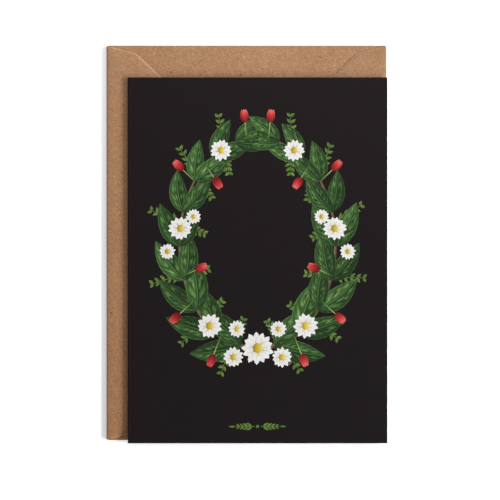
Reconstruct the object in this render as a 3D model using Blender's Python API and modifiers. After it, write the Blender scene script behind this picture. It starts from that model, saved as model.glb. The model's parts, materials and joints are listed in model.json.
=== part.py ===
# Folded greeting card lying closed on its envelope, seen flat from above.
# Metres, +Z up. +X runs across the card to its open edge and +Y up along its spine.
# The envelope's address side is on the table at z = 0, its four flaps face up, and the
# card lies on them. The origin is on the table, under the middle of the whole.
# Real paper is held together by its folds: here each sheet between two folds is a solid
# of its own, and sheets that would touch keep SHEET_GAP between them.
import math

import bmesh
import bpy
from mathutils import Matrix, Vector

# Card, one sheet of board folded once at its spine
CARD_WIDTH = 0.105
CARD_HEIGHT = 0.148
BOARD_THICK = 0.0004

# Envelope, one sheet of kraft paper folded into a panel and four flaps
ENVELOPE_WIDTH = 0.1135
ENVELOPE_HEIGHT = 0.160
PAPER_THICK = 0.00016

# How the two lie on each other
SHEET_GAP = 0.0003
CARD_DROP = 0.0131       # from the envelope's top edge down to the card's
CARD_OVERHANG = 0.0002   # of the card's open edge past the envelope's right edge

# Long flaps, from the left and the right edge. Their outline leaves the envelope's corner
# at a low slope, turns at a shoulder and runs straight to a wide round tip.
SHOULDER_IN = 0.0121     # shoulder to the long edge
SHOULDER_DOWN = 0.0032   # shoulder to the short edge
SHOULDER_RADIUS = 0.006
LONG_FLAP_SLOPE = math.radians(44)
LONG_FLAP_TIP_RADIUS = 0.040

# Side flaps, from the top and the bottom edge, mostly under the long ones
SIDE_FLAP_DEPTH = 0.046
SIDE_FLAP_END = 0.052    # width of the flap's free end
SIDE_FLAP_END_RADIUS = 0.010

CREASE_STOP = 0.0011     # each fold stops this far from the envelope's corners
CREASE_STEPS = 8
ARC_STEPS = 10

# Heights of the undersides of the sheets, from the table up
SHEET_RISE = PAPER_THICK + SHEET_GAP
SIDE_FLAP_Z = SHEET_RISE
BOTTOM_FLAP_Z = 2 * SHEET_RISE
CLOSING_FLAP_Z = 3 * SHEET_RISE
BACK_LEAF_Z = 4 * SHEET_RISE
FRONT_LEAF_Z = BACK_LEAF_Z + BOARD_THICK + SHEET_GAP

# The whole, centred on the origin
TOTAL_WIDTH = ENVELOPE_WIDTH + CARD_OVERHANG
TOTAL_HEIGHT = CARD_DROP + CARD_HEIGHT
ENVELOPE_CENTRE = Vector((-CARD_OVERHANG / 2, (TOTAL_HEIGHT - ENVELOPE_HEIGHT) / 2, 0))

# Spine of the card: the axis that its front leaf turns about when the card opens
SPINE_RADIUS = BOARD_THICK + SHEET_GAP / 2
SPINE_X = TOTAL_WIDTH / 2 - CARD_WIDTH + SPINE_RADIUS
SPINE_Z = FRONT_LEAF_Z - SHEET_GAP / 2
CARD_CENTRE_Y = (CARD_HEIGHT - TOTAL_HEIGHT) / 2
LEAF_START = SHEET_GAP / 2    # from the axis to each leaf's edge
LEAF_WIDTH = CARD_WIDTH - SPINE_RADIUS - LEAF_START

# Colours, linear
KRAFT = (0.40, 0.22, 0.115)
KRAFT_EDGE = (0.34, 0.18, 0.09)
BLACK_INK = (0.0165, 0.0138, 0.0144)


def clear_scene():
    for thing in list(bpy.data.objects):
        bpy.data.objects.remove(thing, do_unlink=True)


def paper_material(name, colour, roughness):
    material = bpy.data.materials.new(name)
    material.use_nodes = True
    shader = material.node_tree.nodes["Principled BSDF"]
    shader.inputs["Base Color"].default_value = (*colour, 1)
    shader.inputs["Roughness"].default_value = roughness
    shader.inputs["Metallic"].default_value = 0
    return material


def add_object(name, data, material, parent, collection):
    piece = bpy.data.objects.new(name, data)
    piece.data.materials.append(material)
    piece.parent = parent
    collection.objects.link(piece)
    return piece


def add_group(name, place, collection):
    group = bpy.data.objects.new(name, None)
    group.location = place
    collection.objects.link(group)
    return group


def box_mesh(name, low, high):
    # A closed box between two corners, as seen from the object's own origin
    low, high = Vector(low), Vector(high)
    build = bmesh.new()
    place = Matrix.Translation((low + high) / 2) @ Matrix.Diagonal((*(high - low), 1))
    bmesh.ops.create_cube(build, size=1, matrix=place)
    mesh = bpy.data.meshes.new(name)
    build.to_mesh(mesh)
    build.free()
    return mesh


def round_corners(corners):
    # Points of a closed outline. Each corner is (place, radius), and a radius above 0
    # turns it into an arc that runs on smoothly from both of its sides.
    points = []
    for number, (corner, radius) in enumerate(corners):
        if radius == 0:
            points.append(corner)
            continue
        before = (corners[number - 1][0] - corner).normalized()
        after = (corners[(number + 1) % len(corners)][0] - corner).normalized()
        half = before.angle(after) / 2
        centre = corner + (before + after).normalized() * (radius / math.sin(half))
        arm = corner + before * (radius / math.tan(half)) - centre
        sweep = math.copysign(math.pi - 2 * half, -before.cross(after))
        for step in range(ARC_STEPS + 1):
            turn = Matrix.Rotation(sweep * step / ARC_STEPS, 2)
            points.append(centre + turn @ arm)
    return points


def flat_sheet(name, outline, thick):
    # A sheet of paper as a filled 2D curve, its middle at the object's own height
    curve = bpy.data.curves.new(name, "CURVE")
    curve.dimensions = "2D"
    curve.fill_mode = "BOTH"
    curve.extrude = thick / 2
    spline = curve.splines.new("POLY")
    spline.points.add(len(outline) - 1)
    for point, place in zip(spline.points, outline):
        point.co = (place.x, place.y, 0, 1)
    spline.use_cyclic_u = True
    return curve


def crease_radius(flap_z):
    # Outer radius of the fold that brings a flap from the panel up to its own height
    return (flap_z + PAPER_THICK) / 2


def long_flap_outline(edge_length, flap_z):
    # X runs inwards from the fold, Y along it with 0 at its middle
    start = crease_radius(flap_z) + SHEET_GAP
    half = edge_length / 2
    slope = math.tan(LONG_FLAP_SLOPE)
    apex = SHOULDER_IN + (half - SHOULDER_DOWN) / slope
    foot = half - SHOULDER_DOWN * start / SHOULDER_IN
    return round_corners([
        (Vector((start, -foot)), 0),
        (Vector((SHOULDER_IN, SHOULDER_DOWN - half)), SHOULDER_RADIUS),
        (Vector((apex, 0)), LONG_FLAP_TIP_RADIUS),
        (Vector((SHOULDER_IN, half - SHOULDER_DOWN)), SHOULDER_RADIUS),
        (Vector((start, foot)), 0),
    ])


def side_flap_outline(edge_length, flap_z):
    # X runs inwards from the fold, Y along it with 0 at its middle
    start = crease_radius(flap_z) + SHEET_GAP
    foot = edge_length / 2 - CREASE_STOP
    end = SIDE_FLAP_END / 2
    return round_corners([
        (Vector((start, -foot)), 0),
        (Vector((SIDE_FLAP_DEPTH, -end)), SIDE_FLAP_END_RADIUS),
        (Vector((SIDE_FLAP_DEPTH, end)), SIDE_FLAP_END_RADIUS),
        (Vector((start, foot)), 0),
    ])


def crease_mesh(name, edge_length, flap_z):
    # Half a turn of paper about the fold's own axis, from the panel up to the flap.
    # It is an open half cylinder that Solidify turns into paper on its inner side.
    radius = crease_radius(flap_z)
    half = edge_length / 2 - CREASE_STOP
    build = bmesh.new()
    ends = [build.verts.new((radius, y, 0)) for y in (-half, half)]
    edge = build.edges.new(ends)
    bmesh.ops.spin(
        build, geom=[*ends, edge], cent=(radius, 0, radius), axis=(0, 1, 0),
        angle=math.pi, steps=CREASE_STEPS, use_merge=False, use_duplicate=False,
    )
    bmesh.ops.recalc_face_normals(build, faces=build.faces)
    mesh = bpy.data.meshes.new(name)
    build.to_mesh(mesh)
    build.free()
    mesh.shade_smooth()
    return mesh


def add_envelope(collection):
    # The four flaps by the edge that they fold in from. A turn of 0 folds in from the left.
    half_width, half_height = ENVELOPE_WIDTH / 2, ENVELOPE_HEIGHT / 2
    folds = [
        ("side_flap_top", -90, (0, half_height), ENVELOPE_WIDTH, SIDE_FLAP_Z),
        ("side_flap_bottom", 90, (0, -half_height), ENVELOPE_WIDTH, SIDE_FLAP_Z),
        ("bottom_flap", 180, (half_width, 0), ENVELOPE_HEIGHT, BOTTOM_FLAP_Z),
        ("closing_flap", 0, (-half_width, 0), ENVELOPE_HEIGHT, CLOSING_FLAP_Z),
    ]
    group = add_group("envelope", ENVELOPE_CENTRE, collection)
    for name, turn, edge_middle, edge_length, flap_z in folds:
        long_flap = edge_length == ENVELOPE_HEIGHT
        outline = long_flap_outline if long_flap else side_flap_outline
        flap = add_object(
            name, flat_sheet(name, outline(edge_length, flap_z), PAPER_THICK),
            paper_material(name, KRAFT, 0.85), group, collection,
        )
        flap.location = (*edge_middle, flap_z + PAPER_THICK / 2)
        flap.rotation_euler.z = math.radians(turn)
        crease_name = "crease_" + name
        crease = add_object(
            crease_name, crease_mesh(crease_name, edge_length, flap_z),
            paper_material(crease_name, KRAFT_EDGE, 0.85), group, collection,
        )
        crease.location = (*edge_middle, 0)
        crease.rotation_euler.z = math.radians(turn)
        shell = crease.modifiers.new("paper", "SOLIDIFY")
        shell.thickness = PAPER_THICK
        shell.offset = -1
        shell.use_even_offset = True

    # The panel fills the space between the feet of the four folds
    side = crease_radius(SIDE_FLAP_Z) + SHEET_GAP
    left = crease_radius(CLOSING_FLAP_Z) + SHEET_GAP
    right = crease_radius(BOTTOM_FLAP_Z) + SHEET_GAP
    panel = box_mesh(
        "front_panel",
        (left - half_width, side - half_height, 0),
        (half_width - right, half_height - side, PAPER_THICK),
    )
    add_object(
        "front_panel", panel, paper_material("front_panel", KRAFT, 0.85), group, collection
    )


def add_card(collection):
    # Both leaves are built about the spine's axis, which the front leaf turns on
    group = add_group("card", (SPINE_X, CARD_CENTRE_Y, SPINE_Z), collection)
    half = CARD_HEIGHT / 2
    for name, base in (("card_back_leaf", BACK_LEAF_Z), ("card_front_leaf", FRONT_LEAF_Z)):
        leaf = box_mesh(
            name,
            (LEAF_START, -half, base - SPINE_Z),
            (LEAF_START + LEAF_WIDTH, half, base + BOARD_THICK - SPINE_Z),
        )
        add_object(name, leaf, paper_material(name, BLACK_INK, 0.6), group, collection)


clear_scene()
parts = bpy.data.collections.new("greeting_card_and_envelope")
bpy.context.scene.collection.children.link(parts)
add_envelope(parts)
add_card(parts)
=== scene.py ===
# Greeting card lying on its kraft envelope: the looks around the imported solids
import json
import math
import random

import bmesh
import bpy
from mathutils import Matrix, Vector
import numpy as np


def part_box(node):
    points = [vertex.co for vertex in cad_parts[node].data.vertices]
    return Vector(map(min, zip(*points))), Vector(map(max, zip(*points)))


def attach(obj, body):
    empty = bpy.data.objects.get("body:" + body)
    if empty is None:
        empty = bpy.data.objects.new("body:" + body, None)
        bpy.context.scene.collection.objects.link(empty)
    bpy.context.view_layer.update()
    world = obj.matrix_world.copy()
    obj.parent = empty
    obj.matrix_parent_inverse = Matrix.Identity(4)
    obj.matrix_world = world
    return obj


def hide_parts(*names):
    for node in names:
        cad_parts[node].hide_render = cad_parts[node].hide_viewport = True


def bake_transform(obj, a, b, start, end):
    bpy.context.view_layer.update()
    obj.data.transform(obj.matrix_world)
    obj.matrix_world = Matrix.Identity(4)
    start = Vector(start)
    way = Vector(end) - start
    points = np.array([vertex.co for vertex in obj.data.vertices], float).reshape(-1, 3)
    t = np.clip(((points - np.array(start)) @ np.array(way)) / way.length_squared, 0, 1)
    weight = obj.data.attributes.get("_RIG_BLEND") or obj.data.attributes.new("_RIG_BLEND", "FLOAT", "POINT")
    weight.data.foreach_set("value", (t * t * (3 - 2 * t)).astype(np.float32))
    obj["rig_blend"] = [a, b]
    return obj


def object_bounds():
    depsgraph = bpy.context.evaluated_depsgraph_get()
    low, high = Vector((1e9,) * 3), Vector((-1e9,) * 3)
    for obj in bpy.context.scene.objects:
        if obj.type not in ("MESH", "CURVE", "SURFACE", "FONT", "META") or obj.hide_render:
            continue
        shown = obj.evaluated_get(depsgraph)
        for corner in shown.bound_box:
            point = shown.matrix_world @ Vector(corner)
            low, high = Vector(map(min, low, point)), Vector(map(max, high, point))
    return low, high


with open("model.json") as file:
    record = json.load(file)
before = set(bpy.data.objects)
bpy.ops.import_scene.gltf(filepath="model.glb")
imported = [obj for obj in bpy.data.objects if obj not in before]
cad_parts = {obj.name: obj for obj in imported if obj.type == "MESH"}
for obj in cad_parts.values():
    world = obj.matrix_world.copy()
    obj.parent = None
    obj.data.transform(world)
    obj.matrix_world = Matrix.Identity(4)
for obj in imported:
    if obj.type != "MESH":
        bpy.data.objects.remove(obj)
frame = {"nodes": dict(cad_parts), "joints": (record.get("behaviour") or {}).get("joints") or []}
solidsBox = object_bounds()
fixedBody = "envelope_and_back_leaf"
turningBody = "front_leaf"


class Wire:
    # wraps a socket, so that shader maths reads as an expression
    def __init__(self, tree, socket=None):
        self.tree = tree
        self.socket = socket

    def node(self, kind, settings=None, sockets=None, output=0):
        made = self.tree.nodes.new(kind)
        for name, value in (settings or {}).items():
            if name == "stops":
                setStops(made.color_ramp, value)
            else:
                setattr(made, name, value)
        for name, value in (sockets or {}).items():
            if isinstance(value, Wire):
                self.tree.links.new(value.socket, made.inputs[name])
            else:
                made.inputs[name].default_value = value
        return Wire(self.tree, made.outputs[output])

    def maths(self, operation, *others):
        sockets = dict(enumerate((self, *others)))
        return self.node("ShaderNodeMath", {"operation": operation}, sockets)

    def mix(self, factor, low, high, blend="MIX"):
        settings = {"data_type": "RGBA", "blend_type": blend}
        return self.node("ShaderNodeMix", settings, {0: factor, 6: low, 7: high}, 2)

    def within(self, low, high):
        # 0 below low, 1 above high, smooth between
        sockets = {"Value": self, "From Min": low, "From Max": high}
        return self.node("ShaderNodeMapRange", {"interpolation_type": "SMOOTHSTEP"}, sockets)

    def ramp(self, stops):
        return self.node("ShaderNodeValToRGB", {"stops": stops}, {0: self})

    def __abs__(self):
        return self.maths("ABSOLUTE")

    def __add__(self, other):
        return self.maths("ADD", other)

    __radd__ = __add__

    def __sub__(self, other):
        return self.maths("SUBTRACT", other)

    def __rsub__(self, other):
        return self.node("ShaderNodeMath", {"operation": "SUBTRACT"}, {0: other, 1: self})

    def __mul__(self, other):
        return self.maths("MULTIPLY", other)

    __rmul__ = __mul__


def setStops(ramp, stops):
    while len(ramp.elements) < len(stops):
        ramp.elements.new(1)
    for element, (place, colour) in zip(ramp.elements, stops):
        element.position = place
        element.color = (*colour, 1)


def startMaterial(name, roughness, specular):
    material = bpy.data.materials.new(name)
    material.use_nodes = True
    shader = material.node_tree.nodes["Principled BSDF"]
    shader.inputs["Roughness"].default_value = roughness
    shader.inputs["Specular IOR Level"].default_value = specular
    return material, shader, Wire(material.node_tree)


def feed(shader, socket, wire):
    wire.tree.links.new(wire.socket, shader.inputs[socket])


def objectPlace(root):
    return root.node("ShaderNodeTexCoord", output="Object")


def turnedPlace(root, size, turn, seed):
    # the object's own coordinates, counted in cells of the given size in metres
    sockets = {
        "Vector": objectPlace(root), "Rotation": (0, 0, turn), "Scale": size,
        "Location": (seed, seed, 0),
    }
    return root.node("ShaderNodeMapping", {"vector_type": "TEXTURE"}, sockets)


def grain(root, size, turn=0, detail=3, seed=0):
    # noise whose grains have the given size in metres, along turned axes
    sockets = {"Vector": turnedPlace(root, size, turn, seed), "Scale": 1, "Detail": detail}
    return root.node("ShaderNodeTexNoise", {}, sockets)


def flecks(root, spacing, reach, turn, seed):
    # small long spots scattered one to a cell, 1 inside them
    size = (spacing * 1.5, spacing, spacing * 4)
    cells = {"Vector": turnedPlace(root, size, turn, seed), "Scale": 1, "Randomness": 1}
    near = root.node("ShaderNodeTexVoronoi", {}, cells, "Distance")
    pick = root.node("ShaderNodeTexVoronoi", {}, cells, "Color")
    chosen = root.node("ShaderNodeSeparateColor", {}, {"Color": pick})
    return (1 - near.within(reach * 0.5, reach)) * chosen.within(0.45, 0.6)


def bump(root, shader, height, strength, depth):
    sockets = {"Height": height, "Strength": strength, "Distance": depth}
    feed(shader, "Normal", root.node("ShaderNodeBump", {}, sockets))


print("materials")

fibreTurn = math.radians(-48)
kraft = {
    "tones": [(0.05, (0.175, 0.083, 0.036)), (0.5, (0.272, 0.146, 0.072)), (0.95, (0.39, 0.238, 0.136))],
    # size in metres, turn, detail, seed, and share in the tone
    "grains": {
        "fibre": ((0.00072, 0.00029, 0.0005), fibreTurn, 1, 0.53, 1.15),
        "speck": ((0.00034, 0.00034, 0.00034), 0.4, 1, 0.71, 0.85),
        "rib": ((0.0034, 0.0009, 0.002), fibreTurn, 1, 0.31, 0.3),
        "blotch": ((0.002, 0.0015, 0.002), 0, 2, 0.27, 0.25),
        "cloud": ((0.045, 0.03, 0.03), 0.3, 2, 0.11, 0.25),
    },
    # spots of two hues each: size in metres, turn, seed, and the two tints
    "hues": [
        (0.0006, 1.1, 0.83, (1.11, 0.955, 0.87), (0.89, 1.045, 1.11)),
        (0.0008, 0.7, 0.47, (1.0, 1.035, 0.88), (1.0, 0.965, 1.12)),
    ],
    "paintedShadeTint": (0.985, 0.925, 0.865),      # painted shade: the paper darker and warmer towards the bottom left corner
    "paintedLightTint": (1.045, 1.055, 1.105),     # painted light: the paper lighter and bluer towards the top right corner
    "paintedLightAcross": 0.6,
    "paintedLightSpan": (-0.11, 0.13),
    # colour, spacing, reach within a cell, turn, seed and strength
    "flecks": [
        ((0.085, 0.036, 0.016), 0.0058, 0.08, math.radians(-25), 0.012, 0.7),
        ((0.55, 0.42, 0.28), 0.0048, 0.075, math.radians(35), 0.037, 0.65),
    ],
    # the cut edges' paler rim: paler cut fibres, and a painted highlight where an edge catches the light
    "cutEdge": (0.44, 0.285, 0.175),
}


def kraftPaper(name):
    material, shader, root = startMaterial(name, 0.82, 0.25)
    grains, tone = {}, 0.5
    for kind, (size, turn, detail, seed, share) in kraft["grains"].items():
        grains[kind] = grain(root, size, turn, detail, seed)
        tone = tone + (grains[kind] - 0.5) * share
    colour = tone.ramp(kraft["tones"])
    for size, turn, seed, one, other in kraft["hues"]:
        spots = grain(root, (size, size, size), turn, 1, seed).within(0.25, 0.75)
        colour = root.mix(1.0, colour, root.mix(spots, (*one, 1), (*other, 1)), "MULTIPLY")
    # painted light and shade: the paper's colour is tinted lighter towards the top right and darker towards
    # the bottom left, by its place on the sheet
    place = objectPlace(root)
    x = root.node("ShaderNodeSeparateXYZ", {}, {0: place}, 0)
    y = root.node("ShaderNodeSeparateXYZ", {}, {0: place}, 1)
    paintedLightShare = (x * kraft["paintedLightAcross"] + y).within(*kraft["paintedLightSpan"])
    tint = root.mix(paintedLightShare, (*kraft["paintedShadeTint"], 1), (*kraft["paintedLightTint"], 1))
    colour = root.mix(1.0, colour, tint, "MULTIPLY")
    for fleck, spacing, reach, turn, seed, strength in kraft["flecks"]:
        colour = root.mix(flecks(root, spacing, reach, turn, seed) * strength, colour, (*fleck, 1))
    # the cut edges' paler rim, which is paler fibres and a painted highlight, and the painted light on the
    # left fold
    edge = root.node("ShaderNodeAttribute", {"attribute_name": "cutEdge"}, {}, "Fac")
    colour = root.mix(edge * (grains["speck"] + 0.2), colour, (*kraft["cutEdge"], 1))
    feed(shader, "Base Color", colour)
    feed(shader, "Roughness", 0.78 + grains["blotch"] * 0.12)
    height = grains["rib"] * 0.6 + grains["fibre"] * 0.5 + grains["speck"] * 0.3
    bump(root, shader, height, 0.14, 0.00008)
    return material


board = {
    "ink": (0.0065, 0.0044, 0.0049),
    "inkPale": (0.0075, 0.0052, 0.0057),
    "inside": (0.58, 0.57, 0.54),
    "insideDeep": (0.53, 0.52, 0.485),
    "mottleSize": (0.006, 0.004, 0.004),
    "toothSize": (0.0005, 0.0004, 0.0004),
    "inkDepth": 0.00004,
}


def inkedBoard(name, inkLow, inkHigh):
    # card board: printed black between two heights, bare everywhere else
    material, shader, root = startMaterial(name, 0.6, 0.1)
    height = root.node("ShaderNodeSeparateXYZ", {}, {0: objectPlace(root)}, 2)
    inked = height.maths("GREATER_THAN", inkLow) * height.maths("LESS_THAN", inkHigh)
    mottle = grain(root, board["mottleSize"], 0.4, 4, 0.2)
    tooth = grain(root, board["toothSize"], 0.2, 2, 0.6)
    black = root.mix(mottle, (*board["ink"], 1), (*board["inkPale"], 1))
    bare = root.mix(mottle * 0.5 + tooth * 0.5, (*board["insideDeep"], 1), (*board["inside"], 1))
    feed(shader, "Base Color", root.mix(inked, bare, black))
    feed(shader, "Roughness", 0.84 - inked * 0.26 + (tooth - 0.5) * 0.1)
    bump(root, shader, tooth, 0.1, 0.00003)
    return material


frontLow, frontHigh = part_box("card_front_leaf")
backLow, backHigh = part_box("card_back_leaf")
far = 1.0     # a height beyond the whole part
kraftFinish = kraftPaper("kraftPaper")
frontBoard = inkedBoard("frontLeafBoard", frontHigh.z - board["inkDepth"], far)
backBoard = inkedBoard("backLeafBoard", -far, backLow.z + board["inkDepth"])
inkOnly = inkedBoard("spineInk", -far, far)
bareOnly = inkedBoard("spineInside", far, 2 * far)


def setMaterial(piece, material):
    for slot in piece.material_slots:
        slot.material = material
    if not piece.material_slots:
        piece.data.materials.append(material)


def faceOutwards(build):
    # for a sheet or shell whose lowest face has to look down
    bmesh.ops.recalc_face_normals(build, faces=build.faces)
    lowest = min(build.faces, key=lambda face: face.calc_center_median().z)
    if lowest.normal.z > 0:
        bmesh.ops.reverse_faces(build, faces=build.faces)


def finishPiece(build, name, materials, smooth=True):
    mesh = bpy.data.meshes.new(name)
    build.to_mesh(mesh)
    build.free()
    piece = bpy.data.objects.new(name, mesh)
    bpy.context.scene.collection.objects.link(piece)
    for material in materials:
        mesh.materials.append(material)
    if smooth:
        mesh.shade_smooth()
        mesh.set_sharp_from_angle(angle=math.radians(40))
    return piece


print("envelope, one folded sheet")

envelope = {
    "paper": 0.00016,
    "shoulderIn": 0.0121,         # a long flap's shoulder, from its fold
    "shoulderDown": 0.0032,       # and from the envelope's short edge
    "shoulderSoft": 0.00025,
    "flapSlope": math.radians(44),
    "tipRadius": 0.040,
    "sideReach": 0.046,
    "sideEnd": 0.026,             # half of a side flap's free end
    "sideRounding": 0.010,
    "closingSag": 0.00062,        # of a long flap's edge, onto the sheet below it
    "bottomSag": 0.00028,
    "sagWide": 0.006,             # from the edge, where the sag starts
    "sagLip": 0.0009,             # from the edge, where it steepens
    "lipShare": 0.55,
    "sagFrom": 0.004,             # past the crease, over which the sag sets in
    "restFrom": 0.036,            # from the fold, where the card starts to hold the flap flat
    "restSpan": 0.014,
    "wearAndLight": 0.00042,              # width of the cut edges' paler rim, which is paler fibres and a painted highlight
    "foldPaintedLight": 0.8,              # painted light on the left fold, lifting the shade on its rounding, where a cut edge has 1
    "creaseRows": 10,
    "depthRows": 56,
    "halfLines": 20,
    "gather": 1.35,
}

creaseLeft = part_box("crease_closing_flap")
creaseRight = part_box("crease_bottom_flap")
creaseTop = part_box("crease_side_flap_top")
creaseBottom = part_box("crease_side_flap_bottom")
left, right = creaseLeft[0].x, creaseRight[1].x
top, bottom = creaseTop[1].y, creaseBottom[0].y
leftRadius, rightRadius, sideRadius = creaseLeft[1].z / 2, creaseRight[1].z / 2, creaseTop[1].z / 2


def softMin(a, b, reach):
    over = max(reach - abs(a - b), 0) / reach
    return min(a, b) - over * over * reach / 4


def smooth(t):
    t = min(max(t, 0), 1)
    return t * t * (3 - 2 * t)


def longFlapMiddle(half):
    # from the fold to the centre of the tip's round
    slope = math.tan(envelope["flapSlope"])
    apex = envelope["shoulderIn"] + (half - envelope["shoulderDown"]) / slope
    return apex - envelope["tipRadius"] / math.sin(envelope["flapSlope"])


def longFlapReach(half):
    return longFlapMiddle(half) + envelope["tipRadius"]


def longFlapHalf(depth, half):
    # half the long flap's width, at a distance in from its fold
    radius, middle = envelope["tipRadius"], longFlapMiddle(half)
    if depth > middle + radius * math.sin(envelope["flapSlope"]):
        return math.sqrt(max(radius ** 2 - (depth - middle) ** 2, 0))
    low = half - envelope["shoulderDown"] * depth / envelope["shoulderIn"]
    past = depth - envelope["shoulderIn"]
    straight = half - envelope["shoulderDown"] - past * math.tan(envelope["flapSlope"])
    return softMin(low, straight, envelope["shoulderSoft"])


def sideFlapHalf(depth, half):
    width = half + (envelope["sideEnd"] - half) * depth / envelope["sideReach"]
    rounding = envelope["sideRounding"]
    past = max(depth - (envelope["sideReach"] - rounding), 0)
    return width - (rounding - math.sqrt(max(rounding ** 2 - past ** 2, 0)))


def spread(t):
    # grid lines gather towards a flap's free edges
    return math.copysign(1 - (1 - abs(t)) ** 2, t)


def sagShare(x, radius, inside):
    # 0 to 1: how much of its sag a long flap has, x in from the fold and inside its edge
    settle = smooth((x - radius) / envelope["sagFrom"])
    settle *= 1 - smooth((x - envelope["restFrom"]) / envelope["restSpan"])
    wide, lip = smooth(1 - inside / envelope["sagWide"]), smooth(1 - inside / envelope["sagLip"])
    return settle * ((1 - envelope["lipShare"]) * wide + envelope["lipShare"] * lip)


def addFlap(build, fold):
    # a crease and its flap; X runs in from the envelope's edge, and Y along it
    place = Matrix.Translation(fold["spot"]) @ Matrix.Rotation(fold["turn"], 4, "Z")
    rows, creases = envelope["depthRows"], envelope["creaseRows"]
    radius, sag = fold["radius"], fold["sag"]
    cutEdge = build.verts.layers.float["cutEdge"]
    grid = bmesh.ops.create_grid(build, x_segments=rows, y_segments=2 * envelope["halfLines"], size=1)
    for vert in grid["verts"]:
        row = round((vert.co.x + 1) / 2 * rows)
        t = vert.co.y
        if row <= creases:
            turn = math.pi * row / creases
            x, z = radius * (1 - math.sin(turn)), radius * (1 - math.cos(turn))
            y = fold["foot"] * spread(t)
            # painted light along the fold's rounding; only the left fold has any
            vert[cutEdge] = fold["wearAndLight"] * math.sin(turn)
        else:
            share = (row - creases) / (rows - creases)
            x = radius + (fold["reach"] - radius) * (1 - (1 - share) ** envelope["gather"])
            half = min(fold["foot"], fold["halfAt"](x, fold["edgeHalf"]))
            y = half * spread(t)
            inside = half - abs(y)
            z = 2 * radius - sag * sagShare(x, radius, inside)
            # a long flap's cut edge gets a paler rim: paler fibres and a painted highlight
            vert[cutEdge] = smooth(1 - inside / envelope["wearAndLight"]) if sag else 0
        vert.co = place @ Vector((x, y, z))


def makeEnvelope():
    build = bmesh.new()
    build.verts.layers.float.new("cutEdge")
    lines = 2 * envelope["halfLines"]
    panel = bmesh.ops.create_grid(build, x_segments=lines, y_segments=lines, size=1)
    low = Vector((left + leftRadius, bottom + sideRadius))
    high = Vector((right - rightRadius, top - sideRadius))
    middle, half = (low + high) / 2, (high - low) / 2
    for vert in panel["verts"]:
        x, y = middle.x + half.x * spread(vert.co.x), middle.y + half.y * spread(vert.co.y)
        vert.co = Vector((x, y, 0))
    halfHeight = (top - bottom) / 2
    longFlap = {"foot": half.y, "edgeHalf": halfHeight, "halfAt": longFlapHalf,
                "reach": longFlapReach(halfHeight)}
    sideFlap = {"foot": half.x, "edgeHalf": half.x, "halfAt": sideFlapHalf,
                "reach": envelope["sideReach"], "radius": sideRadius, "sag": 0, "wearAndLight": 0}
    quarter = math.pi / 2
    folds = [
        {**longFlap, "spot": Vector((left, middle.y, 0)), "turn": 0, "radius": leftRadius,
         "sag": envelope["closingSag"], "wearAndLight": envelope["foldPaintedLight"]},
        {**longFlap, "spot": Vector((right, middle.y, 0)), "turn": 2 * quarter, "radius": rightRadius,
         "sag": envelope["bottomSag"], "wearAndLight": 0},
        {**sideFlap, "spot": Vector((middle.x, bottom, 0)), "turn": quarter},
        {**sideFlap, "spot": Vector((middle.x, top, 0)), "turn": -quarter},
    ]
    for fold in folds:
        addFlap(build, fold)
    bmesh.ops.remove_doubles(build, verts=build.verts, dist=2e-6)
    faceOutwards(build)
    piece = finishPiece(build, "envelopeSheet", [kraftFinish])
    paper = piece.modifiers.new("paper", "SOLIDIFY")
    paper.thickness = envelope["paper"]
    paper.offset = -1
    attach(piece, fixedBody)
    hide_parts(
        "front_panel", "side_flap_top", "side_flap_bottom", "bottom_flap", "closing_flap",
        "crease_side_flap_top", "crease_side_flap_bottom", "crease_bottom_flap", "crease_closing_flap",
    )


makeEnvelope()

print("card")

setMaterial(frame["nodes"]["card_front_leaf"], frontBoard)
setMaterial(frame["nodes"]["card_back_leaf"], backBoard)

hinge = Vector(frame["joints"][0]["pos_m"])
spine = {
    "ply": 0.0002,
    "lap": 0.00004,
    "steps": 5,
    "lengthRows": 24,
    "backAngle": math.radians(63),     # from the lowest point round to the flat back
    "liner": 0.00014,
}


def makeSpineOutside():
    # The fold's outer ply: half a turn about the hinge, inked outside and bare inside, with a
    # short lap onto each leaf. Its lower part stays, its upper part turns, and one flat face,
    # the back, joins them.
    lap = frontLow.x - hinge.x + spine["lap"]
    radius, steps, last = hinge.z - backLow.z, spine["steps"], 2 * spine["steps"] + 3
    build = bmesh.new()
    grid = bmesh.ops.create_grid(build, x_segments=last, y_segments=spine["lengthRows"], size=1)
    for vert in grid["verts"]:
        row = round((vert.co.x + 1) / 2 * last)
        fromEnd = min(row, last - row)
        turn = spine["backAngle"] * max(fromEnd - 1, 0) / steps
        x = lap if fromEnd == 0 else -radius * math.sin(turn) / math.sin(spine["backAngle"])
        z = radius * math.cos(turn) * (1 if row > last / 2 else -1)
        y = frontLow.y + (frontHigh.y - frontLow.y) * (vert.co.y + 1) / 2
        vert.co = Vector((hinge.x + x, y, hinge.z + z))
    faceOutwards(build)
    piece = finishPiece(build, "cardSpineOutside", [inkOnly, bareOnly])
    shell = piece.modifiers.new("ply", "SOLIDIFY")
    shell.thickness = spine["ply"]
    shell.offset = -1
    shell.material_offset = 1
    shell.material_offset_rim = 1
    bpy.context.view_layer.objects.active = piece
    with bpy.context.temp_override(object=piece, active_object=piece, selected_objects=[piece]):
        bpy.ops.object.modifier_apply(modifier=shell.name)
    rise = Vector((0, 0, frontLow.z - hinge.z))
    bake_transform(piece, fixedBody, turningBody, hinge - rise, hinge + rise)


def makeSpineInside():
    # a strip that carries the back leaf's inside on across the open fold
    low = Vector((2 * hinge.x - frontLow.x, backLow.y, backHigh.z - spine["liner"]))
    high = Vector((backLow.x, backHigh.y, backHigh.z))
    build = bmesh.new()
    place = Matrix.Translation((low + high) / 2) @ Matrix.Diagonal((*(high - low), 1))
    bmesh.ops.create_cube(build, size=1, matrix=place)
    piece = finishPiece(build, "cardSpineInside", [bareOnly], smooth=False)
    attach(piece, fixedBody)


makeSpineOutside()
makeSpineInside()

print("printed design")

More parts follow.
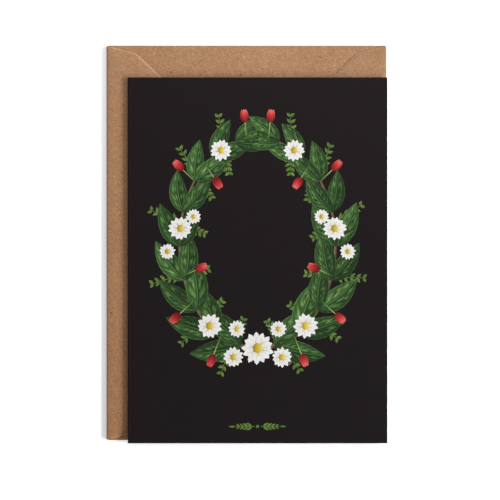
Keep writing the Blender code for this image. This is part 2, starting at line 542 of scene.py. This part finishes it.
sheet = {
    "spineInset": 0.0007,     # of the card's outer edge, past the front leaf's
    "inkStep": 0.000004,      # height of one painted layer
}
cardMiddle = Vector((
    (frontLow.x - sheet["spineInset"] + frontHigh.x) / 2, (frontLow.y + frontHigh.y) / 2, frontHigh.z,
))
layers = {"stem": 1, "sprig": 3, "leaf": 5, "bud": 9, "daisy": 13, "daisyDepth": 4}
draw = random.Random(7)


def startPrint():
    build = bmesh.new()
    build.loops.layers.uv.new("printMap")
    build.verts.layers.float.new("tint")
    return build


def addBlade(build, foot, turn, length, width, profile, layer, bend=0, tilt=0, segments=(8, 18)):
    # A flat blade that grows from its foot along a bending rib, as wide as profile says.
    # It lies on a layer of paint, and its foot is higher than its tip by its tilt.
    across, along = segments
    tintLayer, uvLayer = build.verts.layers.float["tint"], build.loops.layers.uv["printMap"]
    tint = draw.random()
    grid = bmesh.ops.create_grid(build, x_segments=across, y_segments=along, size=1)
    spots = {}
    for vert in grid["verts"]:
        s, t = -vert.co.x, (vert.co.y + 1) / 2     # the sign keeps the faces looking up
        spots[vert] = ((s + 1) / 2, t)
        heading = bend * t
        ribX, ribY = t, 0
        if abs(bend) > 0.01:
            ribX, ribY = math.sin(heading) / bend, (1 - math.cos(heading)) / bend
        half = width / 2 * profile(t)
        x = length * ribX - half * s * math.sin(heading)
        y = length * ribY + half * s * math.cos(heading)
        vert.co = Vector((
            cardMiddle.x + foot[0] + x * math.cos(turn) - y * math.sin(turn),
            cardMiddle.y + foot[1] + x * math.sin(turn) + y * math.cos(turn),
            cardMiddle.z + sheet["inkStep"] * (layer + tilt * (1 - t)),
        ))
        vert[tintLayer] = tint
    for face in {face for vert in grid["verts"] for face in vert.link_faces}:
        for loop in face.loops:
            loop[uvLayer].uv = spots[loop.vert]


def addDisc(build, place, radius, layer, segments):
    foot = (place[0] - radius, place[1])
    addBlade(build, foot, 0, 2 * radius, 2 * radius, discProfile, layer, 0, 0, segments)


def leafProfile(t):
    return 0.05 * (1 - t) + math.sin(math.pi * min(t ** 0.82, 1)) ** 0.85


def budProfile(t):
    return 0.12 * (1 - t) + math.sin(math.pi * min(t ** 0.7, 1)) ** 0.7


def petalProfile(t):
    return 0.2 * (1 - t) + math.sin(math.pi * min(t, 1) ** 1.5) ** 0.75 * 0.85


def discProfile(t):
    return 2 * math.sqrt(max(t * (1 - t), 0))


def stalkProfile(t):
    return 1 - 0.55 * t


def branchProfile(t):
    return 1 - 0.06 * t


def printedPlace(root):
    # across and along a blade, both from 0 to 1, and its own tint
    uv = root.node("ShaderNodeUVMap", {"uv_map": "printMap"})
    u = root.node("ShaderNodeSeparateXYZ", {}, {0: uv}, 0)
    v = root.node("ShaderNodeSeparateXYZ", {}, {0: uv}, 1)
    return u, v, root.node("ShaderNodeAttribute", {"attribute_name": "tint"}, {}, "Fac")


def brushed(root, x, y, detail=3):
    place = root.node("ShaderNodeCombineXYZ", {}, {0: x, 1: y})
    return root.node("ShaderNodeTexNoise", {}, {"Vector": place, "Scale": 1, "Detail": detail})


leafBrush = {
    "base": 0.2,
    "light": 0.14,         # of the half in the light
    "sheen": 0.4,
    "veins": 7.5,
    "veinSlant": 2.6,
    "veinDepth": 0.05,
    "tintRange": 0.14,
    "footShade": 0.12,
    "furrow": 0.12,        # dark beside the midrib
    "rib": 0.42,
    "rim": 0.24,
}


def leafPaint(name, stops):
    # painted leaf: one half in the light, patches of sheen between its side veins, dark
    # beside its midrib, and a pale midrib and rim
    material, shader, root = startMaterial(name, 0.55, 0.12)
    u, v, tint = printedPlace(root)
    across = abs(u - 0.5) * 2
    wave = (v * leafBrush["veins"] - across * leafBrush["veinSlant"] + tint * 3) * (2 * math.pi)
    veins = wave.maths("SINE") * across.within(0, 0.5)
    brush = brushed(root, across * 4 + tint * 9, v * 9 - across * 3)
    sheen = across.within(0.06, 0.3) * (1 - across.within(0.5, 0.9)) * brush.within(0.36, 0.68)
    tone = (leafBrush["base"] + u.within(0.48, 0.52) * leafBrush["light"] + sheen * leafBrush["sheen"]
            + veins * leafBrush["veinDepth"] + (tint - 0.5) * leafBrush["tintRange"]
            - (1 - v.within(0, 0.3)) * leafBrush["footShade"]
            - (1 - across.within(0.04, 0.18)) * leafBrush["furrow"]
            + (1 - across.within(0.025, 0.07)) * leafBrush["rib"]
            + across.within(0.88, 0.97) * leafBrush["rim"])
    feed(shader, "Base Color", tone.ramp(stops))
    return material


def petalPaint(name, stops, streaks, rimShade=0.14):
    # painted petal: pale towards its tip, with fine streaks along it and a shaded rim
    material, shader, root = startMaterial(name, 0.55, 0.12)
    u, v, tint = printedPlace(root)
    across = abs(u - 0.5) * 2
    streak = brushed(root, u * streaks + tint * 13, v * 1.5, 2)
    tone = (v * 0.75 + 0.22 + (streak - 0.5) * 0.5 - across.within(0.5, 1) * rimShade
            + (tint - 0.5) * 0.2)
    feed(shader, "Base Color", tone.ramp(stops))
    return material


def barkPaint(name, stops):
    # painted bark: streaks along it, light on one side and dark on the other
    material, shader, root = startMaterial(name, 0.6, 0.12)
    u, v, tint = printedPlace(root)
    streak = brushed(root, u * 4 + tint * 7, v * 22)
    tone = 0.3 + u.within(0, 0.7) * 0.35 - u.within(0.75, 1) * 0.3 + (streak - 0.5) * 0.6
    feed(shader, "Base Color", tone.ramp(stops))
    return material


leafGreens = [
    (0.0, (0.0045, 0.012, 0.0045)), (0.28, (0.014, 0.036, 0.01)), (0.5, (0.04, 0.095, 0.024)),
    (0.72, (0.095, 0.19, 0.055)), (1.0, (0.26, 0.4, 0.15)),
]
sprigGreens = [
    (0.0, (0.015, 0.03, 0.008)), (0.4, (0.07, 0.13, 0.025)), (0.75, (0.19, 0.29, 0.07)),
    (1.0, (0.34, 0.43, 0.16)),
]
petalWhites = [
    (0.0, (0.17, 0.23, 0.05)), (0.25, (0.39, 0.41, 0.28)), (0.45, (0.54, 0.53, 0.5)),
    (1.0, (0.65, 0.64, 0.64)),
]
budReds = [
    (0.0, (0.04, 0.0025, 0.003)), (0.35, (0.15, 0.008, 0.01)), (0.65, (0.38, 0.022, 0.024)),
    (1.0, (0.56, 0.12, 0.1)),
]
barkBrowns = [
    (0.0, (0.017, 0.009, 0.006)), (0.4, (0.08, 0.043, 0.027)), (0.8, (0.19, 0.12, 0.08)),
    (1.0, (0.31, 0.22, 0.16)),
]
centreYellows = [
    (0.0, (0.08, 0.07, 0.008)), (0.5, (0.43, 0.28, 0.024)), (1.0, (0.66, 0.53, 0.09)),
]

wreath = {
    "radiusX": 0.0315,
    "radiusY": 0.0425,
    "liftY": 0.007,
    "stemParts": 14,
    "stemEnd": 0.93,          # how far round each branch's stem goes
    "stemOverlap": 0.12,
    "stemWidth": 0.0019,
    "stemThinning": 0.7,
    "leafPairs": 8,
    "leafFrom": 0.07,
    "leafSpan": 0.84,
    "leafLength": 0.0225,
    "leafShrink": 0.006,      # from the first pair to the last
    "leafWidth": 0.4,
    "leafLean": 0.62,
    "leanShrink": 0.12,
    "topLeaves": 0.94,
}


def ringPoint(angle, grow=1.0):
    return (wreath["radiusX"] * grow * math.cos(angle),
            wreath["liftY"] + wreath["radiusY"] * grow * math.sin(angle))


def ringHeading(angle, side):
    dx, dy = -wreath["radiusX"] * math.sin(angle) * side, wreath["radiusY"] * math.cos(angle) * side
    return math.atan2(dy, dx)


def branchAngle(side, share):
    # the wreath's two branches start at the foot, on side 1 or -1, and meet at the top
    return -math.pi / 2 + side * math.pi * share


def mirrored(plan):
    # a plan of places by their angle in degrees, and the same on the wreath's other half
    return plan + [(180 - angle, *rest) for angle, *rest in plan]


def printPiece(build, name, material):
    piece = finishPiece(build, name, [material], smooth=False)
    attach(piece, turningBody)


def makeStems():
    build = startPrint()
    parts = wreath["stemParts"]
    for side in (1, -1):
        for number in range(parts):
            angle = branchAngle(side, wreath["stemEnd"] * number / parts)
            past = number + 1 + wreath["stemOverlap"]
            nextAngle = branchAngle(side, wreath["stemEnd"] * past / parts)
            start, end = Vector(ringPoint(angle)), Vector(ringPoint(nextAngle))
            heading = math.atan2(end.y - start.y, end.x - start.x)
            bend = ringHeading(nextAngle, side) - ringHeading(angle, side)
            bend = (bend + math.pi) % (2 * math.pi) - math.pi
            width = wreath["stemWidth"] * (1 - wreath["stemThinning"] * number / parts)
            addBlade(build, start, heading - bend / 2, (end - start).length, width,
                     branchProfile, layers["stem"], bend, 1, (6, 6))
    printPiece(build, "printStems", barkPaint("printBark", barkBrowns))


def makeLeaves():
    build = startPrint()
    for side in (1, -1):
        for station in range(wreath["leafPairs"] + 1):
            share = station / wreath["leafPairs"]
            angle = branchAngle(side, wreath["leafFrom"] + wreath["leafSpan"] * share)
            heading = ringHeading(angle, side)
            for lean in (-1, 1):
                size = (wreath["leafLength"] - wreath["leafShrink"] * share) * draw.uniform(0.92, 1.08)
                opening = wreath["leafLean"] - wreath["leanShrink"] * share
                turn = heading + lean * side * opening + draw.uniform(-0.06, 0.06)
                bend = -lean * side * draw.uniform(0.25, 0.5)
                addBlade(build, ringPoint(angle), turn, size, size * wreath["leafWidth"], leafProfile,
                         layers["leaf"] + 0.25 * (lean + side), bend, 2)
    for side in (1, -1):
        angle = branchAngle(side, wreath["topLeaves"])
        addBlade(build, ringPoint(angle), ringHeading(angle, side), 0.012, 0.0048, leafProfile,
                 layers["leaf"] + 2.5, 0.1 * side, 0.5)
    printPiece(build, "printLeaves", leafPaint("printLeafGreen", leafGreens))


sprig = {
    "shares": (0.1, 0.24, 0.4, 0.56, 0.72, 0.86),     # places along each branch
    "outward": 0.0135,
    "inward": 0.0105,
    "turn": 0.25,
    "stalk": 0.00045,
    "pairs": 5,
    "leafLength": 0.0031,
    "leafWidth": 0.00125,
    "leafLean": 0.85,
}


def makeSprigs():
    build = startPrint()
    for side in (1, -1):
        for share in sprig["shares"]:
            foot = ringPoint(branchAngle(side, share))
            outward = math.atan2(foot[1] - wreath["liftY"], foot[0])
            for turn, length in ((outward, sprig["outward"]), (outward + math.pi, sprig["inward"])):
                turn += side * sprig["turn"]
                addBlade(build, foot, turn, length, sprig["stalk"], stalkProfile, layers["sprig"], 0.2, 0,
                         (2, 8))
                for step in range(1, sprig["pairs"] + 1):
                    along = step / (sprig["pairs"] + 0.3)
                    heading = turn + 0.1 * along
                    spot = (foot[0] + length * along * math.cos(heading),
                            foot[1] + length * along * math.sin(heading))
                    leafLength = sprig["leafLength"] * (1.15 - 0.5 * along)
                    for lean in (-1, 1):
                        addBlade(build, spot, turn + lean * sprig["leafLean"], leafLength,
                                 sprig["leafWidth"], leafProfile,
                                 layers["sprig"] + 0.75 + lean * 0.25, 0, 0, (4, 6))
    printPiece(build, "printSprigs", leafPaint("printSprigGreen", sprigGreens))


daisy = {
    "petals": 13,
    "radius": 0.0044,
    "petalWidth": 0.42,
    "rings": ((0, 1.0), (1, 0.82)),     # each ring's number and reach
    "heart": 0.3,
    # angle about the wreath in degrees, how far out and how large; overlapping ones stack
    "plan": [(-90, 1, 1.5), (-52, 1, 1.15), (-128, 1, 1.15), (8, 1, 1.1), (172, 1, 1.1), (62, 1, 1),
             (118, 1, 1)],
    "small": [(-74, 1.13, 0.95), (-72, 0.86, 0.8), (-4, 1.16, 0.75), (17, 0.86, 0.7)],
}


def daisySpots():
    plan = list(daisy["plan"])
    for spot in daisy["small"]:
        plan += mirrored([spot])
    spots = []
    for angle, grow, size in plan:
        place, radius = Vector(ringPoint(math.radians(angle), grow)), daisy["radius"] * size
        under = [spot[2] for spot in spots if (spot[0] - place).length < spot[1] + radius]
        layer = max(under) + layers["daisyDepth"] if under else layers["daisy"]
        spots.append((place, radius, layer))
    return spots


def makeDaisies():
    petals, centres = startPrint(), startPrint()
    count = daisy["petals"]
    for place, radius, layer in daisySpots():
        start = draw.uniform(0, 1)
        for ring, share in daisy["rings"]:
            for number in range(count):
                # neighbouring petals lie on different layers all the way round
                order = 2 if number == count - 1 else number % 2
                turn = start + (number + ring / 2) * 2 * math.pi / count + draw.uniform(-0.05, 0.05)
                length = radius * share * draw.uniform(0.93, 1.05)
                bend = draw.uniform(-0.15, 0.15)
                addBlade(petals, place, turn, length, radius * daisy["petalWidth"], petalProfile,
                         layer + ring * 1.5 + order * 0.5, bend, 0, (4, 7))
        addDisc(centres, place, radius * daisy["heart"], layer + 3.2, (10, 12))
    printPiece(petals, "printDaisyPetals", petalPaint("printPetalWhite", petalWhites, 3, 0.4))
    printPiece(centres, "printDaisyCentres", petalPaint("printCentreYellow", centreYellows, 9))


tulip = {
    "plan": [(-34, 1.2), (-18, 0.84), (36, 1.18), (82, 1.16), (48, 0.84), (-62, 1.2)],
    "stalk": 0.0006,
    "length": 0.0054,
    # three overlapping petals: lean, width and layer
    "petals": ((0.3, 0.0022, 1), (-0.3, 0.0022, 1.7), (0, 0.0024, 2.4)),
}


def makeBuds():
    petals, stalks = startPrint(), startPrint()
    for degrees, grow in mirrored(tulip["plan"]):
        angle = math.radians(degrees)
        foot, spot = Vector(ringPoint(angle)), Vector(ringPoint(angle, grow))
        way = spot - foot
        turn = math.atan2(way.y, way.x)
        addBlade(stalks, foot, turn, way.length, tulip["stalk"], stalkProfile, layers["bud"], 0, 0, (2, 4))
        for lean, width, layer in tulip["petals"]:
            addBlade(petals, spot, turn + lean, tulip["length"], width, budProfile, layers["bud"] + layer,
                     -lean, 0, (6, 10))
    printPiece(stalks, "printStalks", petalPaint("printStalkGreen", sprigGreens, 2))
    printPiece(petals, "printTulipBuds", petalPaint("printBudRed", budReds, 5))


footSprig = {"y": -0.0672, "start": 0.0013, "length": 0.0082, "pairs": 4, "leaf": 0.0027, "disc": 0.00065}


def makeFootOrnament():
    # two small sprigs that grow outwards from a disc
    build = startPrint()
    y, start, pairs, leaf = footSprig["y"], footSprig["start"], footSprig["pairs"], footSprig["leaf"]
    for side, turn in ((1, 0), (-1, math.pi)):
        addBlade(build, (side * start, y), turn, footSprig["length"], 0.00035, stalkProfile, 1, 0, 0,
                 (2, 8))
        for pair in range(pairs):
            spot = (side * (start + footSprig["length"] * (0.12 + 0.8 * pair / pairs)), y)
            length = leaf * (1 - 0.12 * pair)
            for lean in (-1, 1):
                addBlade(build, spot, turn + lean * 0.72, length, length * 0.36, leafProfile,
                         1.75 + 0.25 * lean, -0.3 * lean, 0, (4, 8))
        addBlade(build, (side * (start + footSprig["length"] * 0.94), y), turn, leaf, leaf * 0.3,
                 leafProfile, 2.25, 0, 0, (4, 8))
    addDisc(build, (0, y), footSprig["disc"], 2.5, (8, 10))
    printPiece(build, "printFootOrnament", leafPaint("printOrnamentGreen", sprigGreens))


makeStems()
makeSprigs()
makeLeaves()
makeBuds()
makeDaisies()
makeFootOrnament()

print("floor, lights and camera")

studio = {
    "framePixels": 500,
    "metresPerPixel": 0.00040514,
    "leftPixel": 106.5,         # the envelope's left edge in the picture
    "topPixel": 45.35,          # and its top edge
    "lens": 160,
    "sensor": 36,
    "floorSize": 3.0,
    "floorDrop": 0.00002,
    "floorGlow": 0.21,          # a lit table, so shadows stay pale
    "roomLight": 0.42,
}


def around(azimuth, elevation, distance):
    a, e = math.radians(azimuth), math.radians(elevation)
    return Vector((math.cos(e) * math.cos(a), math.cos(e) * math.sin(a), math.sin(e))) * distance


# name, place, aim, size, power and colour
softboxes = [
    ("keySoftbox", around(-6, 26, 1.6), (0, 0, 0), (1.9, 0.48), 54, (1.0, 0.985, 0.965)),
    ("topReflector", (0.02, 0.22, 0.2), (0, 0.02, 0), (0.2, 0.08), 0.29, (1.0, 1.0, 1.0)),
]


def addFloor():
    build = bmesh.new()
    bmesh.ops.create_grid(build, x_segments=1, y_segments=1, size=studio["floorSize"] / 2)
    mesh = bpy.data.meshes.new("floor")
    build.to_mesh(mesh)
    build.free()
    mesh.transform(Matrix.Translation((0, 0, solidsBox[0][2] - studio["floorDrop"])))
    floor = bpy.data.objects.new("floor", mesh)
    bpy.context.scene.collection.objects.link(floor)
    finish, shader = startMaterial("paleFloor", 0.9, 0.1)[:2]
    shader.inputs["Base Color"].default_value = (0.9, 0.9, 0.9, 1)
    shader.inputs["Emission Color"].default_value = (0.96, 0.98, 1.0, 1)
    shader.inputs["Emission Strength"].default_value = studio["floorGlow"]
    mesh.materials.append(finish)


def addRoom():
    world = bpy.data.worlds.new("softRoom")
    world.use_nodes = True
    background = world.node_tree.nodes["Background"]
    background.inputs[0].default_value = (0.97, 0.985, 1.0, 1)
    background.inputs[1].default_value = studio["roomLight"]
    bpy.context.scene.world = world


def addSoftbox(name, place, aim, size, power, colour):
    lamp = bpy.data.lights.new(name, "AREA")
    lamp.shape = "RECTANGLE"
    lamp.size, lamp.size_y = size
    lamp.energy = power
    lamp.color = colour
    box = bpy.data.objects.new(name, lamp)
    box.location = place
    box.rotation_euler = (Vector(place) - Vector(aim)).to_track_quat("Z", "Y").to_euler()
    box.visible_camera = False
    bpy.context.scene.collection.objects.link(box)


def addCamera():
    # straight above, placed so that the envelope's edges fall where the picture has them
    camera = bpy.data.cameras.new("camera")
    camera.lens = studio["lens"]
    camera.sensor_width = studio["sensor"]
    camera.clip_end = 10
    view = bpy.data.objects.new("camera", camera)
    half = studio["framePixels"] / 2
    view.location = (
        left + (half - studio["leftPixel"]) * studio["metresPerPixel"],
        top - (half - studio["topPixel"]) * studio["metresPerPixel"],
        studio["framePixels"] * studio["metresPerPixel"] * studio["lens"] / studio["sensor"]
        + solidsBox[1][2] / 2,
    )
    bpy.context.scene.collection.objects.link(view)
    bpy.context.scene.camera = view


addFloor()
addRoom()
for softbox in softboxes:
    addSoftbox(*softbox)
addCamera()
bpy.context.scene.view_settings.view_transform = "Standard"
